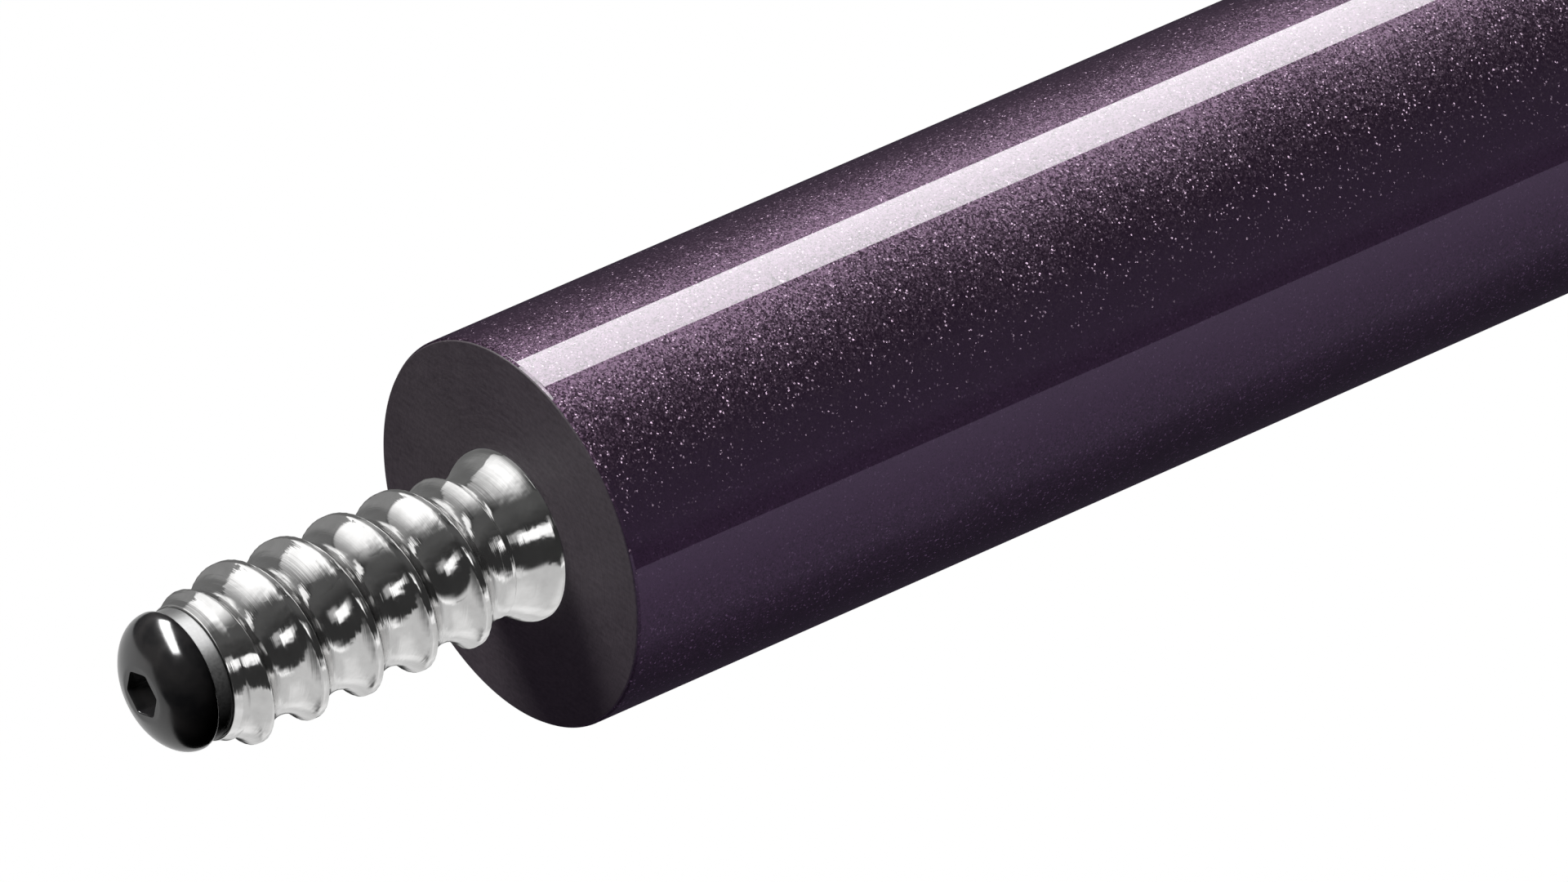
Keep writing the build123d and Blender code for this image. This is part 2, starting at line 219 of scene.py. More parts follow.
def polished_steel():
    """Turned and polished stainless steel with fine tool marks round the pin."""
    n = Nodes("polished_steel")
    fine = n.noise(n.wound((60, 8000, 1)), 1.0, 2.0)
    broad = n.noise(n.wound((80, 3200, 1)), 1.0, 3.0)
    patch = n.noise(n.place(), 420.0, 3.0)
    wear = n.noise(n.place(), 900.0, 4.0)
    tint = n.mix(n.spread(wear, 0.35, 0.7, 0, 1), (0.70, 0.695, 0.69), (0.60, 0.595, 0.59))
    rough = n.spread(broad, 0.25, 0.75, 0.05, 0.13)
    scratched = n.spread(patch, 0.42, 0.62, 0.15, 1.0)
    marks = n.math("MULTIPLY", n.math("ADD", n.math("MULTIPLY", fine, 0.45), broad), scratched)
    return n.surface(Base_Color=tint, Metallic=1.0, Roughness=rough, Normal=n.bump(marks, 0.00004, 0.8))


def joint_phenolic():
    """Dark phenolic faced on a lathe: faint rings, a fibrous mottle and a soft sheen."""
    n = Nodes("joint_phenolic")
    at = n.place()
    rings = n.noise(n.wound((25, 9000, 1)), 1.0, 3.0)
    fibre = n.noise(at, 4200.0, 4.0, 0.7)
    weave = n.noise(n.vector("MULTIPLY", at, (1, 900, 5200)), 1.0, 3.0)
    broad = n.noise(at, 220.0, 3.0)
    mottle = n.math("ADD", n.math("MULTIPLY", fibre, 0.5), n.math("MULTIPLY", weave, 0.3))
    tone = n.ramp(n.math("ADD", mottle, n.math("MULTIPLY", broad, 0.2)),
                  (0.36, (0.036, 0.029, 0.034)), (0.64, (0.074, 0.063, 0.070)))
    rough = n.spread(rings, 0.3, 0.7, 0.45, 0.62)
    normal = n.bump(rings, 0.000006, 0.5, n.bump(fibre, 0.000007, 0.5))
    return n.surface(Base_Color=tone, Roughness=rough, Normal=normal, Specular_IOR_Level=0.4)


def black_oxide():
    """Glossy black oxide on a steel screw, a little uneven, rubbed thin where it is handled."""
    n = Nodes("black_oxide")
    at = n.place()
    grain = n.noise(at, 5200.0, 3.0)
    patch = n.noise(at, 700.0, 3.0)
    tone = n.ramp(patch, (0.35, (0.006, 0.006, 0.0065)), (0.75, (0.016, 0.015, 0.015)))
    rough = n.spread(patch, 0.3, 0.7, 0.13, 0.20)
    return n.surface(Base_Color=tone, Roughness=rough, Normal=n.bump(grain, 0.000003, 0.35),
                     Specular_IOR_Level=0.75)


def satin_nylon():
    n = Nodes("satin_nylon")
    grain = n.noise(n.place(), 6500.0, 3.0)
    tone = n.ramp(grain, (0.3, 0.012), (0.7, 0.026))
    return n.surface(Base_Color=tone, Roughness=0.40, Normal=n.bump(grain, 0.000004, 0.4))


def gloss_black():
    """Polished black resin with faint polishing haze."""
    n = Nodes("gloss_black")
    at = n.place()
    haze = n.noise(at, 340.0, 4.0)
    tone = n.ramp(haze, (0.3, (0.007, 0.007, 0.008)), (0.7, (0.014, 0.013, 0.015)))
    rough = n.spread(haze, 0.3, 0.7, 0.06, 0.16)
    return n.surface(Base_Color=tone, Roughness=rough, Coat_Weight=0.6, Coat_Roughness=0.03)


def nickel_silver():
    """Polished nickel silver ring with fine turning lines."""
    n = Nodes("nickel_silver")
    lines = n.noise(n.wound((30, 15000, 1)), 1.0, 2.0)
    tarnish = n.noise(n.place(), 420.0, 4.0)
    tint = n.mix(n.spread(tarnish, 0.4, 0.75, 0, 1), (0.72, 0.69, 0.63), (0.60, 0.56, 0.48))
    rough = n.spread(tarnish, 0.3, 0.7, 0.12, 0.24)
    return n.surface(Base_Color=tint, Metallic=1.0, Roughness=rough, Normal=n.bump(lines, 0.000003, 0.6))


def linen_thread():
    """Pressed linen thread: dark strands with pale flecks, twisted fibres and a waxy sheen."""
    n = Nodes("linen_thread")
    at = n.place()
    twist = n.add("TexWave", {"wave_type": "BANDS", "bands_direction": "DIAGONAL"},
                  Vector=n.wound((1.0, 1.0, 1)), Scale=520.0, Distortion=3.0, Detail=2.0).outputs["Fac"]
    fibre = n.noise(n.wound((900, 5200, 1)), 1.0, 4.0, 0.65)
    fleck = n.noise(n.wound((160, 1200, 1)), 1.0, 2.0)
    dark = n.mix(twist, (0.016, 0.013, 0.018), (0.040, 0.034, 0.043))
    tone = n.mix(n.spread(fleck, 0.60, 0.72, 0, 1), dark, (0.20, 0.17, 0.21))
    height = n.math("ADD", n.math("MULTIPLY", twist, 0.6), n.math("MULTIPLY", fibre, 0.6))
    rough = n.spread(n.noise(at, 90.0, 3.0), 0.3, 0.7, 0.50, 0.68)
    return n.surface(Base_Color=tone, Roughness=rough, Normal=n.bump(height, 0.00006, 0.8),
                     Sheen_Weight=0.25, Sheen_Roughness=0.4)


def bumper_rubber():
    """Moulded black rubber with a fine pebble and a greyer, scuffed foot."""
    n = Nodes("bumper_rubber")
    at = n.place()
    pebble = n.add("TexVoronoi", Vector=at, Scale=2600.0).outputs["Distance"]
    scuff = n.noise(at, 260.0, 5.0, 0.65)
    foot = n.spread(n.add("SeparateXYZ", Vector=at).outputs["X"], 0.7355, 0.7380, 0.0, 1.0)
    worn = n.math("MULTIPLY", foot, n.spread(scuff, 0.42, 0.62, 0.0, 1.0), clamp=True)
    tone = n.mix(worn, n.ramp(scuff, (0.3, 0.010), (0.7, 0.019)), (0.055, 0.053, 0.050))
    rough = n.spread(scuff, 0.3, 0.7, 0.52, 0.72)
    return n.surface(Base_Color=tone, Roughness=rough, Normal=n.bump(pebble, 0.00004, 0.35))


def zinc_steel():
    n = Nodes("zinc_steel")
    at = n.place()
    lines = n.noise(n.wound((60, 9000, 1)), 1.0, 3.0)
    bloom = n.noise(at, 500.0, 4.0)
    tint = n.mix(n.spread(bloom, 0.35, 0.7, 0, 1), (0.56, 0.56, 0.57), (0.40, 0.40, 0.42))
    rough = n.spread(bloom, 0.3, 0.7, 0.26, 0.42)
    return n.surface(Base_Color=tint, Metallic=1.0, Roughness=rough, Normal=n.bump(lines, 0.000005, 0.6))


def turned_brass():
    n = Nodes("turned_brass")
    at = n.place()
    bloom = n.noise(at, 300.0, 4.0)
    marks = n.noise(n.vector("MULTIPLY", at, (9000, 60, 60)), 1.0, 2.0)
    tint = n.mix(n.spread(bloom, 0.35, 0.7, 0, 1), (0.78, 0.58, 0.25), (0.60, 0.42, 0.17))
    return n.surface(Base_Color=tint, Metallic=1.0, Roughness=n.spread(bloom, 0.3, 0.7, 0.2, 0.35),
                     Normal=n.bump(marks, 0.000004, 0.5))


def maple():
    """Straight-grained maple with fine pores along the cue."""
    n = Nodes("maple")
    at = n.place()
    grain = n.noise(n.vector("MULTIPLY", at, (6, 420, 420)), 1.0, 5.0, 0.6)
    figure = n.noise(n.vector("MULTIPLY", at, (45, 30, 30)), 1.0, 3.0)
    tone = n.ramp(grain, (0.3, (0.50, 0.33, 0.18)), (0.55, (0.72, 0.53, 0.33)), (0.8, (0.80, 0.63, 0.42)))
    shade = n.mix(n.spread(figure, 0.35, 0.65, 0.0, 0.35), tone, (0.55, 0.36, 0.20))
    return n.surface(Base_Color=shade, Roughness=0.5, Normal=n.bump(grain, 0.00003, 0.5))


# ---- turned meshes -------------------------------------------------------------------------------
HOLD = 1.35                    # how far from a corner its holding points are, in fillet reaches


def rounded(*corners, steps=5):
    """Outline through corners of (x, r, fillet radius). A point on each side of a fillet's arc holds it."""
    outline = []
    for i, (x, r, fillet) in enumerate(corners):
        here = np.array((x, r), float)
        if not fillet or i in (0, len(corners) - 1):
            outline.append(here)
            continue
        to_last = np.array(corners[i - 1][:2], float) - here
        to_next = np.array(corners[i + 1][:2], float) - here
        to_last /= np.linalg.norm(to_last)
        to_next /= np.linalg.norm(to_next)
        turn = pi - np.arccos(np.clip(to_last @ to_next, -1, 1))
        reach = fillet * tan(turn / 2)
        middle = here + (to_last + to_next) / np.linalg.norm(to_last + to_next) * fillet / cos(turn / 2)
        start, end = here + to_last * reach - middle, here + to_next * reach - middle
        outline.append(here + to_last * reach * HOLD)
        for step in range(steps + 1):
            t = step / steps
            ray = (sin((1 - t) * turn) * start + sin(t * turn) * end) / sin(turn)
            outline.append(middle + ray)
        outline.append(here + to_next * reach * HOLD)
    return outline


def rings_mesh(name, rings, around):
    """Mesh of rings round X. A ring is (x, r) or (x, function of the angle that gives r), in millimetres.

    Its map named lathe holds the way round and the way along the outline, in metres.
    """
    angle = np.arange(around) * tau / around
    x = np.array([ring[0] for ring in rings], float)
    r = np.array([ring[1](angle) if callable(ring[1]) else np.full(around, ring[1]) for ring in rings])
    return skin_mesh(name, grid(np.repeat(x[:, None], around, 1), r, angle))


def grid(x, r, angle):
    """Points in metres from places along X, radii and angles in millimetres and radians."""
    return np.stack([x, r * np.cos(angle), r * np.sin(angle)], -1) * MM


def skin_mesh(name, points):
    """Quad mesh through a (rows, columns, 3) grid of points that closes round X, with its lathe map."""
    rows, columns = points.shape[:2]
    row, column = np.meshgrid(np.arange(rows - 1), np.arange(columns), indexing="ij")
    after = (column + 1) % columns
    this_row, next_row = row * columns, (row + 1) * columns
    corners = [this_row + column, this_row + after, next_row + after, next_row + column]
    faces = np.stack(corners, -1).reshape(-1, 4)
    mesh = bpy.data.meshes.new(name)
    mesh.vertices.add(rows * columns)
    mesh.vertices.foreach_set("co", points.astype(np.float32).ravel())
    mesh.loops.add(faces.size)
    mesh.loops.foreach_set("vertex_index", faces.ravel())
    mesh.polygons.add(len(faces))
    mesh.polygons.foreach_set("loop_start", np.arange(0, faces.size, 4))
    mesh.update(calc_edges=True)
    along = np.concatenate([[0], np.cumsum(np.linalg.norm(np.diff(points[:, 0], axis=0), axis=1))])
    widest = np.linalg.norm(points[..., 1:], axis=-1).max()
    u = np.stack([column, column + 1, column + 1, column], -1) * tau / columns * widest
    v = along[np.stack([row, row, row + 1, row + 1], -1)]
    layer = mesh.uv_layers.new(name="lathe")
    layer.data.foreach_set("uv", np.stack([u, v], -1).astype(np.float32).ravel())
    mesh.polygons.foreach_set("use_smooth", np.ones(len(faces), bool))
    mesh.validate()
    piece = bpy.data.objects.new(name, mesh)
    scene.collection.objects.link(piece)
    return piece


def finish_piece(piece, body, material, slot, *nodes):
    """Gives a piece its material and body, and hides the CAD nodes that it stands for. Its slot is not used.
    """
    piece.data.materials.append(material)
    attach(piece, body)
    if nodes:
        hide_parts(*nodes)
    return piece


def lathe(name, outline, body, material, slot, around=AROUND):
    """A turned piece that replaces the CAD node of its name.

    Its faces point outwards only if the outer side of the outline runs towards +X. Of the twelve outlines
    here only the nose washer's does, so the faces of the other eleven point inwards.
    """
    piece = rings_mesh(name + "_turned", [tuple(point) for point in outline], around)
    return finish_piece(piece, body, material, slot, name)


def millimetres(node):
    """The lowest and highest x of a CAD node, and its outer radius, in millimetres."""
    low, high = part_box(node)
    return low.x / MM, high.x / MM, high.y / MM


STEEL = polished_steel()
LACQUER = flake_lacquer()
PHENOLIC = joint_phenolic()
OXIDE = black_oxide()
NYLON = satin_nylon()
BLACK = gloss_black()
NICKEL = nickel_silver()
LINEN = linen_thread()
RUBBER = bumper_rubber()
ZINC = zinc_steel()
BRASS = turned_brass()
MAPLE = maple()


# ---- joint pin -----------------------------------------------------------------------------------
CREST = 4.66
SHOULDER = 4.7625
PITCH = 3.5
GROOVE_RADIUS = 1.86
GROOVE_AXIS = 5.66             # radius at which the groove's round section is centred
GROOVE_START = 22.4425         # centre of the groove on the +Y side, in front of the joint face
GROOVE_END = 2.4
NECK_CENTRE, NECK_ROOT = 2.5, 3.88      # deepest place of the relief groove beside the joint face
NECK_SHOULDER_SIDE, NECK_THREAD_SIDE = 2.8, 0.65
TIP_FACE, TIP_RADIUS, TIP_MOUTH = 20.5, 3.70, 2.4
TAPER_START, TAPER_SLOPE = 18.7, 0.62   # the crests shrink towards the tip
UNCUT = 99.0                   # radius given where a cut doesn't reach
PIN_AROUND = 320
EDGE_SOFTNESS = 0.03
SHOULDER_SOFTNESS = 0.40


def soft_minimum(a, b, softness):
    gap = np.clip(0.5 + 0.5 * (b - a) / softness, 0, 1)
    return b * (1 - gap) + a * gap - softness * gap * (1 - gap)


def scoop(distance, axis_radius, radius):
    """Radius left by a round cut whose centre is distance away along the pin."""
    inside = np.abs(distance) < radius
    return np.where(inside, axis_radius - np.sqrt(np.where(inside, radius**2 - distance**2, 1)), UNCUT)


def pin_radius(s, turn):
    """Radius of the pin at s in front of the joint face, where turn is the angle from +Y over 360 degrees."""
    r = np.where(s + 0 * turn < NECK_CENTRE, SHOULDER, CREST)
    r = soft_minimum(r, CREST - (s - TAPER_START) * TAPER_SLOPE, EDGE_SOFTNESS)
    first = GROOVE_START - PITCH * turn
    last_turn = np.floor((GROOVE_START - GROOVE_END) / PITCH - turn)
    nearest = np.clip(np.round((first - s) / PITCH), 0, last_turn)
    r = soft_minimum(r, scoop(s - (first - PITCH * nearest), GROOVE_AXIS, GROOVE_RADIUS), EDGE_SOFTNESS)
    side = np.where(s < NECK_CENTRE, NECK_SHOULDER_SIDE, NECK_THREAD_SIDE)
    neck = scoop(s - NECK_CENTRE, NECK_ROOT + side, side)
    return soft_minimum(r, neck, np.where(s < NECK_CENTRE, SHOULDER_SOFTNESS, EDGE_SOFTNESS))


def joint_pin():
    """The pin's outside, from the joint face to the tip. Its rows are closest in the relief groove."""
    s = np.concatenate([np.linspace(0.0, 2.2, 26), np.linspace(2.24, 3.4, 36), np.linspace(3.46, 19.75, 226)])
    turn = np.arange(PIN_AROUND) / PIN_AROUND
    r = pin_radius(s[:, None], turn[None, :])
    tip = np.array(rounded((19.8, 3.94, 0), (20.05, 3.80, 0.08), (TIP_FACE, TIP_RADIUS, 0.06),
                           (TIP_FACE, TIP_MOUTH, 0)))
    s = np.concatenate([s, tip[:, 0]])
    r = np.concatenate([r, np.repeat(tip[:, 1:], PIN_AROUND, 1)])
    points = grid(np.repeat(-s[:, None], PIN_AROUND, 1), r, turn * tau)
    piece = skin_mesh("joint_pin_turned", points[::-1])
    return finish_piece(piece, "cue", STEEL, "polished_steel", "joint_pin")


PIN = joint_pin()


def hexagon(across, turn_degrees, softness=0.06):
    """Function of the angle that gives the radius of a hexagon with softened corners."""
    def radius(angle):
        from_flat = (angle - radians(turn_degrees) + pi / 6) % (pi / 3) - pi / 6
        flat = across / 2 / np.cos(pi / 6 - np.abs(from_flat))
        return soft_minimum(flat, across / sqrt(3) - softness / 2, softness)
    return radius


def socket_rings(mouth, depth, across, turn, outward, flat_radius):
    """Rings from a flat's edge to the bottom of a hexagon socket. outward is +1 or -1 along X."""
    hole, wide = hexagon(across, turn), hexagon(across + 0.10, turn)
    bottom = mouth - outward * depth

    def between(share):
        """Ring on the flat, part of the way from its round edge to the hexagon."""
        return lambda angle: flat_radius * (1 - share) + wide(angle) * share

    return [
        (mouth, flat_radius), (mouth, between(0.5)), (mouth, between(0.92)), (mouth, wide),
        (mouth - outward * 0.03, hexagon(across + 0.04, turn)), (mouth - outward * 0.07, hole),
        (mouth - outward * 0.16, hole), (bottom + outward * 0.05, hole),
        (bottom, hexagon(across - 0.1, turn)), (bottom, across * 0.33),
        (bottom - outward * across * 0.12, across * 0.16),
        (bottom - outward * across * 0.16, 0.0),
    ]


DOME_RIM = 0.14                # height of a button head's straight rim
DOME_STEPS = 22


def dome(seat, height, rim_radius, top_radius, outward):
    """Rings of a button head from its seat to its flat top."""
    drop = asin(min(1.0, top_radius / rim_radius))
    rings = [(seat, rim_radius - 0.35), (seat, rim_radius - 0.1), (seat + outward * 0.04, rim_radius - 0.03)]
    full = height / cos(drop)
    for step in range(DOME_STEPS + 1):
        angle = (pi / 2 - drop) * step / DOME_STEPS
        rise = DOME_RIM + (full * sin(angle)) * (height - DOME_RIM) / height
        rings.append((seat + outward * rise, rim_radius * cos(angle)))
    return rings


NOSE_HEAD_HEIGHT = 2.12
BUMPER_HEAD_HEIGHT = 4.2


def nose():
    top = millimetres("nose_screw")[0]
    seat = top + NOSE_HEAD_HEIGHT
    rings = dome(seat, seat - top, 3.78, 1.55, -1) + socket_rings(top, 1.3, 2.24, 45.0, -1, 1.50)
    screw = rings_mesh("nose_screw_head", rings[::-1], AROUND_SMALL)
    finish_piece(screw, "nose_screw", OXIDE, "black_oxide_steel", "nose_screw")
    low, high, radius = millimetres("nose_washer")
    outline = rounded((high, 2.3, 0), (high, radius, 0.10), (low, radius, 0.10), (low, 2.3, 0))
    washer = lathe("nose_washer", outline[::-1], "nose_washer", NYLON, "black_nylon", AROUND_SMALL)
    return screw, washer


NOSE = nose()


# ---- forearm -------------------------------------------------------------------------------------
FACE_RADIUS, CAP_RADIUS, CAP_END = 10.8, 15.5, 729.0     # ends of the butt's straight taper


def taper_radius(x):
    """Radius of the butt's straight taper at x."""
    return FACE_RADIUS + (CAP_RADIUS - FACE_RADIUS) * x / CAP_END


def forearm():
    _, high, radius = millimetres("forearm_sleeve")
    outline = rounded((0.08, 10.50, 0), (0.08, 10.68, 0.02), (0.20, FACE_RADIUS, 0.05),
                      (high - 0.08, radius, 0.05), (high, radius - 0.08, 0.03), (high, radius - 0.5, 0))
    lathe("forearm_sleeve", outline[::-1], "cue", LACQUER, "purple_lacquer")
    collar = rounded((0.4, 4.77, 0), (0.0, 4.77, 0.02), (0.0, 10.69, 0.07), (0.2, 10.69, 0))
    return lathe("joint_collar", collar[::-1], "cue", PHENOLIC, "black_phenolic")


COLLAR = forearm()


# ---- handle, trim and butt -----------------------------------------------------------------------
END_DEPTH = 1.2                # how far inwards the end faces of a ring's skin go


def trim_ring(node, material, slot, edge):
    low, high, radius = millimetres(node)
    front = taper_radius(low)
    outline = rounded((low, front - END_DEPTH, 0), (low, front, edge), (high, radius, edge),
                      (high, radius - END_DEPTH, 0))
    lathe(node, outline[::-1], "cue", material, slot)


THREAD_PITCH = 0.95
THREAD_HEIGHT = 0.17
THREAD_UNEVEN = 0.02           # most that a rib rises or falls, and the room left for it below the taper
WRAP_AROUND = 56
ROWS_PER_RIB = 5
UNEVEN_RATES = 12.9898, 4.1414      # odd rates, so that no two ribs in a row are alike


def wound_wrap():
    """Linen thread wound on the handle: one rib per turn, rising and falling a little from turn to turn."""
    low, high, _ = millimetres("handle_wrap")
    rows = int((high - low) / THREAD_PITCH * ROWS_PER_RIB)
    x = np.linspace(low, high, rows)[:, None]
    angle = np.arange(WRAP_AROUND)[None, :] * tau / WRAP_AROUND
    phase = (x - low) / THREAD_PITCH - angle / tau
    rib = np.abs(np.sin(pi * phase)) ** 0.8
    turn = np.floor(phase)
    uneven = THREAD_UNEVEN * np.sin(turn * UNEVEN_RATES[0]) * np.sin(turn * UNEVEN_RATES[1])
    r = taper_radius(x) - 2 * THREAD_UNEVEN - THREAD_HEIGHT * (1 - rib) + uneven
    piece = skin_mesh("handle_wrap_thread", grid(np.repeat(x, WRAP_AROUND, 1), r, angle))
    finish_piece(piece, "cue", LINEN, "linen_wrap", "handle_wrap")


SOCKET_RADIUS, SOCKET_END = 9.2, 717.2     # the cap's socket for the bumper
BUMPER_FACE, BUMPER_NECK = 729.2, 9.0      # where the bumper meets the cap, and its inner edge there
POCKET_RADIUS, POCKET_FLOOR = 7.4, 730.8   # the bumper's pocket for its screw's head


def butt():
    trim_ring("front_trim_collar", BLACK, "gloss_black", 0.10)
    trim_ring("front_trim_ring", NICKEL, "nickel_silver", 0.12)
    wound_wrap()
    trim_ring("rear_trim_ring", NICKEL, "nickel_silver", 0.12)
    trim_ring("rear_trim_collar", BLACK, "gloss_black", 0.10)
    trim_ring("butt_sleeve", LACQUER, "purple_lacquer", 0.10)
    trim_ring("butt_trim_ring", NICKEL, "nickel_silver", 0.12)
    low, high, _ = millimetres("butt_cap")
    front = taper_radius(low)
    cap = rounded((low, front - 1.0, 0), (low, front, 0.15), (high, taper_radius(high), 0.6),
                  (high, SOCKET_RADIUS, 0.2), (SOCKET_END, SOCKET_RADIUS, 0))
    lathe("butt_cap", cap[::-1], "cue", BLACK, "gloss_black")


butt()


def bumper():
    _, high, radius = millimetres("bumper")
    foot = rounded((BUMPER_FACE, BUMPER_NECK, 0), (BUMPER_FACE, radius, 0.25), (high - 3.2, radius - 0.4, 1.2),
                   (high, 11.0, 1.6), (high, POCKET_RADIUS, 0.5), (POCKET_FLOOR, POCKET_RADIUS, 0), steps=9)
    lathe("bumper", foot[::-1], "bumper", RUBBER, "black_rubber")
    low, high, radius = millimetres("bumper_washer")
    washer = rounded((low + 0.1, radius, 0), (high, radius, 0.1), (high, 5.4, 0))
    lathe("bumper_washer", washer[::-1], "bumper", ZINC, "plain_steel")
    high = millimetres("bumper_screw")[1]
    seat = high - BUMPER_HEAD_HEIGHT
    rings = dome(seat, high - seat, 6.6, 3.2, 1) + socket_rings(high, 3.4, 4.0, 0.0, 1, 3.1)
    screw = rings_mesh("bumper_screw_head", rings, AROUND_SMALL)
    finish_piece(screw, "bumper_screw", ZINC, "plain_steel", "bumper_screw")


bumper()


def hidden_nodes():
    """CAD nodes that stay as they are, with the material that each is made of."""
    finishes = {
        "forearm_core": MAPLE, "handle_core": MAPLE, "butt_core": MAPLE, "handle_stud": ZINC,
        "weight_insert": BRASS, "weight_bolt": ZINC,
    }
    for node, material in finishes.items():
        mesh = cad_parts[node].data
        mesh.materials.clear()
        mesh.materials.append(material)


hidden_nodes()


# ---- studio --------------------------------------------------------------------------------------
def only_in_reflections(thing, receivers):
    """A studio surface that the camera doesn't see and that lights only its receivers."""
    thing.visible_camera = False
    thing.visible_shadow = False
    lit = bpy.data.collections.new(thing.name + "_lights")
    for receiver in receivers:
        lit.objects.link(receiver)
    thing.light_linking.receiver_collection = lit


def area_light(name, receivers, centre, outward, along, width, radiance):
    """Area light at centre that shines against outward. Its long side is along, its short side is width."""
    data = bpy.data.lights.new(name, "AREA")
    data.shape = "RECTANGLE"
    data.size = along.length
    data.size_y = width
    data.energy = radiance * pi * data.size * data.size_y
    light = bpy.data.objects.new(name, data)
    scene.collection.objects.link(light)
    along = along.normalized()
    side = outward.cross(along)
    light.matrix_world = Matrix(((*along, 0), (*side, 0), (*outward, 0), (*centre, 1))).transposed()
    only_in_reflections(light, receivers)


def bank(name, receivers, angle, distance, span, along, radiance):
    """Light parallel to the cue. angle is from +Y towards +Z, and span its width as an angle, in degrees."""
    low, high = along
    outward = Vector((0, cos(radians(angle)), sin(radians(angle))))
    centre = Vector(((low + high) / 2, 0, 0)) + outward * distance
    width = 2 * distance * tan(radians(span / 2))
    area_light(name, receivers, centre, outward, Vector((high - low, 0, 0)), width, radiance)


def bar(name, receivers, start, end, distance, width, radiance):
    """Light that reaches between two directions from the joint and faces it. Its width is in metres."""
    first, last = Vector(start).normalized() * distance, Vector(end).normalized() * distance
    centre = (first + last) / 2
    area_light(name, receivers, centre, centre.normalized(), last - first, width, radiance)


def spotlight(name, receivers, centre, target, angle, size, power):
    """Spotlight whose beam fades from its middle to its edge."""
    data = bpy.data.lights.new(name, "SPOT")
    data.spot_size = radians(angle)
    data.spot_blend = 1.0
    data.shadow_soft_size = size
    data.energy = power
    data.use_shadow = False
    light = bpy.data.objects.new(name, data)
    scene.collection.objects.link(light)
    light.location = centre
    light.rotation_mode = "QUATERNION"
    light.rotation_quaternion = (Vector(centre) - Vector(target)).to_track_quat("Z", "Y")
    only_in_reflections(light, receivers)


def plane(name, low, high, z, material):
    mesh = bpy.data.meshes.new(name)
    corners = [(low[0], low[1], z), (high[0], low[1], z), (high[0], high[1], z), (low[0], high[1], z)]
    mesh.from_pydata(corners, [], [(0, 1, 2, 3)])
    mesh.materials.append(material)
    piece = bpy.data.objects.new(name, mesh)
    scene.collection.objects.link(piece)
    piece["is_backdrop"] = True
    return piece


TENT_HALF_LENGTH = 40.0        # in metres, as the radius of a tent is
TENT_SIDES = 96


def light_tent(name, receivers, radius, glow):
    """Cylinder round the cue that glows in its receivers' reflections and is clear to the rest."""
    angle = np.arange(TENT_SIDES) * tau / TENT_SIDES
    points = np.stack([
        np.stack([np.full(TENT_SIDES, x), radius * np.cos(angle), radius * np.sin(angle)], -1)
        for x in (-TENT_HALF_LENGTH, TENT_HALF_LENGTH)
    ])
    tent = skin_mesh(name, points)
    n = Nodes(name)
    at = n.add("NewGeometry").outputs["Position"]
    split = n.add("SeparateXYZ", Vector=n.vector("NORMALIZE", at))
    turn = n.math("DIVIDE", n.math("ARCTAN2", split.outputs["Z"], split.outputs["Y"]), pi / 180)
    light = n.add("Emission", Strength=1.0)
    n.put(light, "Color", glow(n, turn, split.outputs["X"]))
    both = n.add("AddShader")
    n.put(both, 0, light.outputs[0])
    n.put(both, 1, n.add("BsdfTransparent").outputs[0])
    n.tree.links.new(both.outputs[0], n.output.inputs["Surface"])
    n.tree.nodes.remove(n.shader)
    tent.data.materials.append(n.material)
    only_in_reflections(tent, receivers)
    tent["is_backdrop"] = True


def soft_step(n, value, start, end):
    """0 before start and 1 past end, easing between. Runs downwards when end is below start."""
    node = n.add("MapRange", {"interpolation_type": "SMOOTHSTEP"}, Value=value)
    low, high, first = (start, end, 0.0) if start < end else (end, start, 1.0)
    for key, number in (("From Min", low), ("From Max", high), ("To Min", first), ("To Max", 1.0 - first)):
        n.put(node, key, number)
    return node.outputs["Result"]


# What the bright metal sees: the angle round the cue and the slant along it between which a panel rises,
# stays lit and falls, and its radiance. Angles are in degrees from +Y towards +Z. A slant goes from -1 at -X
# to 1 at +X.
METAL_BASE = 0.040             # radiance between the panels
METAL_PANELS = (
    ((28, 32, 66, 106), (-1.30, -1.20, -0.50, 0.62), 1.60),
    ((30, 36, 56, 95), (-0.20, 0.62, 1.30, 1.40), 0.34),
    ((-14, -6, 26, 30), (-1.30, -1.20, -0.68, -0.60), 1.10),
    ((-45, -30, 26, 32), (-0.64, -0.60, -0.10, 0.25), 0.28),
    ((-45, -30, 26, 32), (-0.10, 0.25, 1.20, 1.30), 0.14),
    ((0, 14, 40, 60), (0.56, 0.66, 1.20, 1.30), 1.05),
    ((74, 80, 92, 98), (0.50, 0.64, 1.20, 1.30), 1.20),
    ((146, 150, 159, 166), (-0.94, -0.56, -0.14, 0.18), 1.50),
    ((138, 144, 152, 158), (-0.35, -0.05, 0.22, 0.55), 0.52),
    ((-164, -156, -96, -72), (-0.98, -0.50, 0.75, 1.05), 0.70),
    ((-98, -78, -58, -46), (-0.36, -0.10, 0.75, 1.05), 0.72),
    ((-172, -160, -155, -150), (0.00, 0.55, 0.75, 1.05), 0.60),
    ((-150, -125, -95, -70), (-0.30, 0.10, 0.35, 0.60), 0.22),
    ((96, 104, 112, 146), (-1.40, -1.30, 1.30, 1.40), 0.07),
)


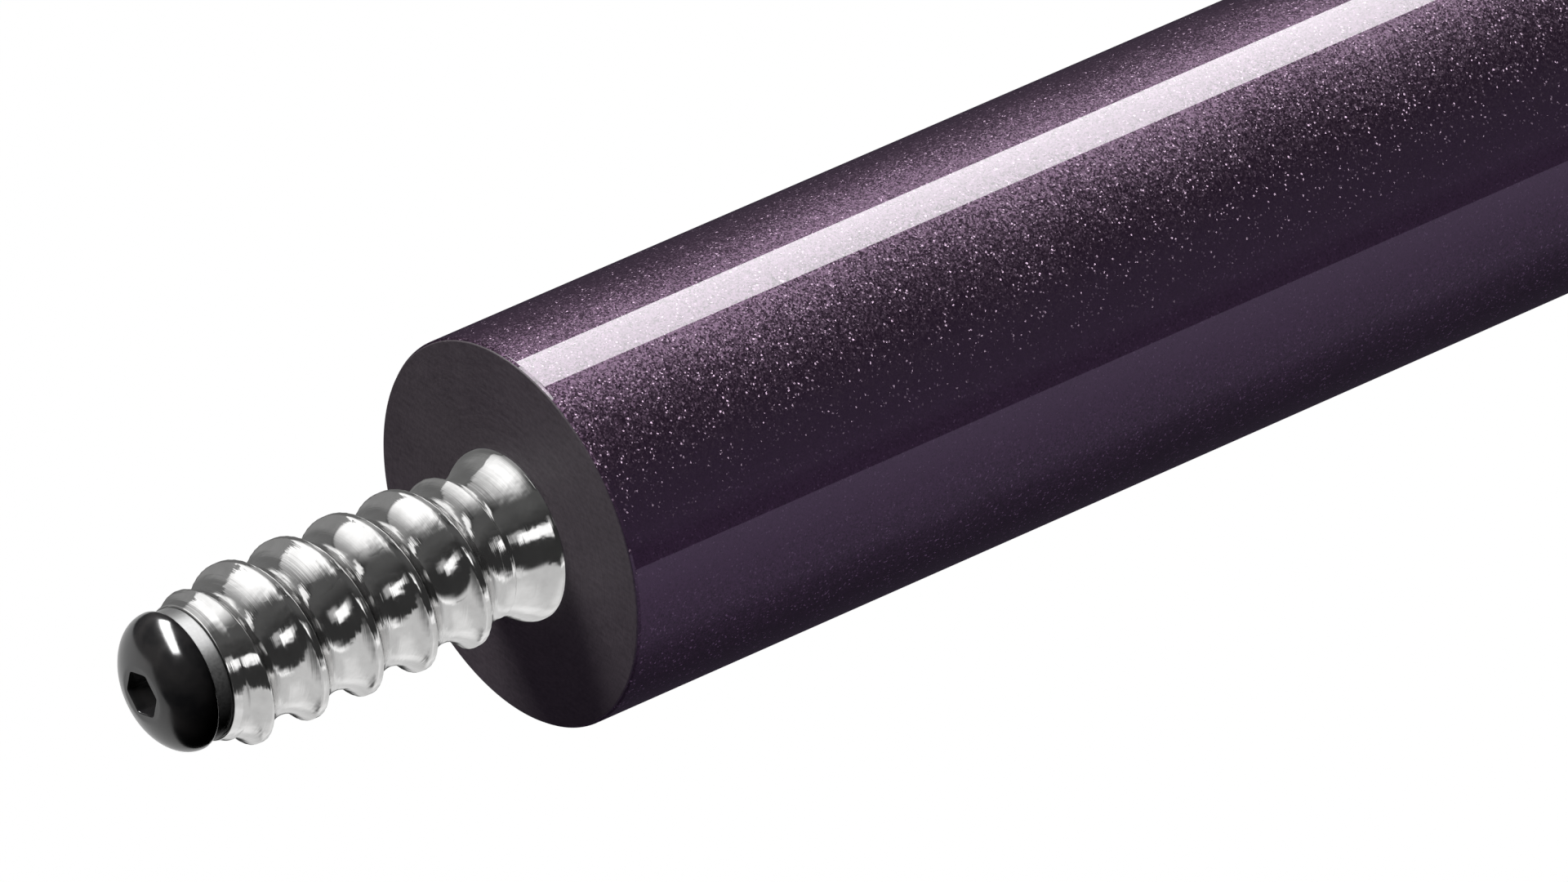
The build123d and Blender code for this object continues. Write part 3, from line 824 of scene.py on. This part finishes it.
def metal_glow(n, turn, slant):
    total = METAL_BASE
    for (a, b, c, d), (e, f, g, h), radiance in METAL_PANELS:
        across = n.math("MULTIPLY", soft_step(n, turn, a, b), soft_step(n, turn, d, c))
        along = n.math("MULTIPLY", soft_step(n, slant, e, f), soft_step(n, slant, h, g))
        total = n.math("ADD", total, n.math("MULTIPLY", n.math("MULTIPLY", across, along), radiance))
    return total


LAVENDER = (1.0, 0.79, 1.20)


def room_glow(n, turn, _slant):
    """What the rest sees: dim lavender all round, and a table below that brightens to a sharp far edge."""
    table = n.ramp(n.spread(turn, -180.0, -80.0, 0.0, 1.0), (0.0, 0.0), (0.075, 0.0), (0.078, 0.60),
                   (0.17, 0.49), (0.29, 0.34), (0.41, 0.26), (0.53, 0.19), (0.65, 0.06), (0.77, 0.02),
                   (0.90, 0.0))
    level = n.ramp(n.spread(turn, -180.0, 180.0, 0.0, 1.0), (0.0, 0.085), (0.12, 0.050), (0.33, 0.030),
                   (0.66, 0.030), (0.84, 0.055), (0.90, 0.20), (0.975, 0.22), (1.0, 0.085))
    return n.vector("MULTIPLY", n.vector("ADD", table, level), LAVENDER)


FLOOR_REACH, FLOOR_HEIGHT = 60, -0.30      # in metres


def floor():
    """Wide pale floor, bright enough to be white, seen from above only."""
    n = Nodes("pale_floor")
    n.surface(Base_Color=(0.85, 0.85, 0.85), Roughness=0.9, Emission_Color=(1, 1, 1), Emission_Strength=1.0)
    see_through = n.add("BsdfTransparent")
    mix = n.add("MixShader")
    n.put(mix, 0, n.add("NewGeometry").outputs["Backfacing"])
    n.put(mix, 1, n.shader.outputs[0])
    n.put(mix, 2, see_through.outputs[0])
    n.tree.links.new(mix.outputs[0], n.output.inputs["Surface"])
    low, high = (-FLOOR_REACH, -FLOOR_REACH), (FLOOR_REACH, FLOOR_REACH)
    ground = plane("floor", low, high, FLOOR_HEIGHT, n.material)
    ground.visible_diffuse = False
    ground.visible_glossy = False
    ground.visible_shadow = False


def backdrop_world():
    """White behind the object, nearly dark in reflections."""
    world = bpy.data.worlds.new("studio")
    scene.world = world
    world.use_nodes = True
    tree = world.node_tree
    sky = tree.nodes["Background"]
    path = tree.nodes.new("ShaderNodeLightPath")
    mix = tree.nodes.new("ShaderNodeMixRGB")
    mix.inputs["Color1"].default_value = (0.0, 0.0, 0.0, 1)
    mix.inputs["Color2"].default_value = (1, 1, 1, 1)
    tree.links.new(path.outputs["Is Camera Ray"], mix.inputs["Fac"])
    tree.links.new(mix.outputs[0], sky.inputs["Color"])


def studio():
    backdrop_world()
    floor()
    head, washer = NOSE
    others = [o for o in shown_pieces() if o not in (PIN, head, washer)]
    for piece in others:
        piece.visible_glossy = False   # or the dark pieces behind the pin would black out its steel
    bank("strip_light", others, angle=58.3, distance=0.60, span=25.0, along=(-1.2, 2.6), radiance=8.9)
    light_tent("metal_tent", [PIN], 2.8, metal_glow)
    light_tent("room_tent", others, 2.5, room_glow)
    spotlight("face_light", [COLLAR], centre=(-0.40, -0.19, 0.30), target=(0, 0.0062, 0.0078), angle=3.9,
              size=0.02, power=2.3)
    bar("nose_key", [head], start=(-0.75, -0.04, 0.70), end=(0.16, 0.74, 0.67), distance=0.50,
        width=0.15, radiance=24.0)
    bank("nose_fill", [head, washer], angle=-39.0, distance=0.30, span=70.0, along=(-0.62, 0.30),
         radiance=0.8)
    bank("washer_key", [washer], angle=78.0, distance=0.30, span=70.0, along=(-0.10, 0.50), radiance=18.0)


studio()
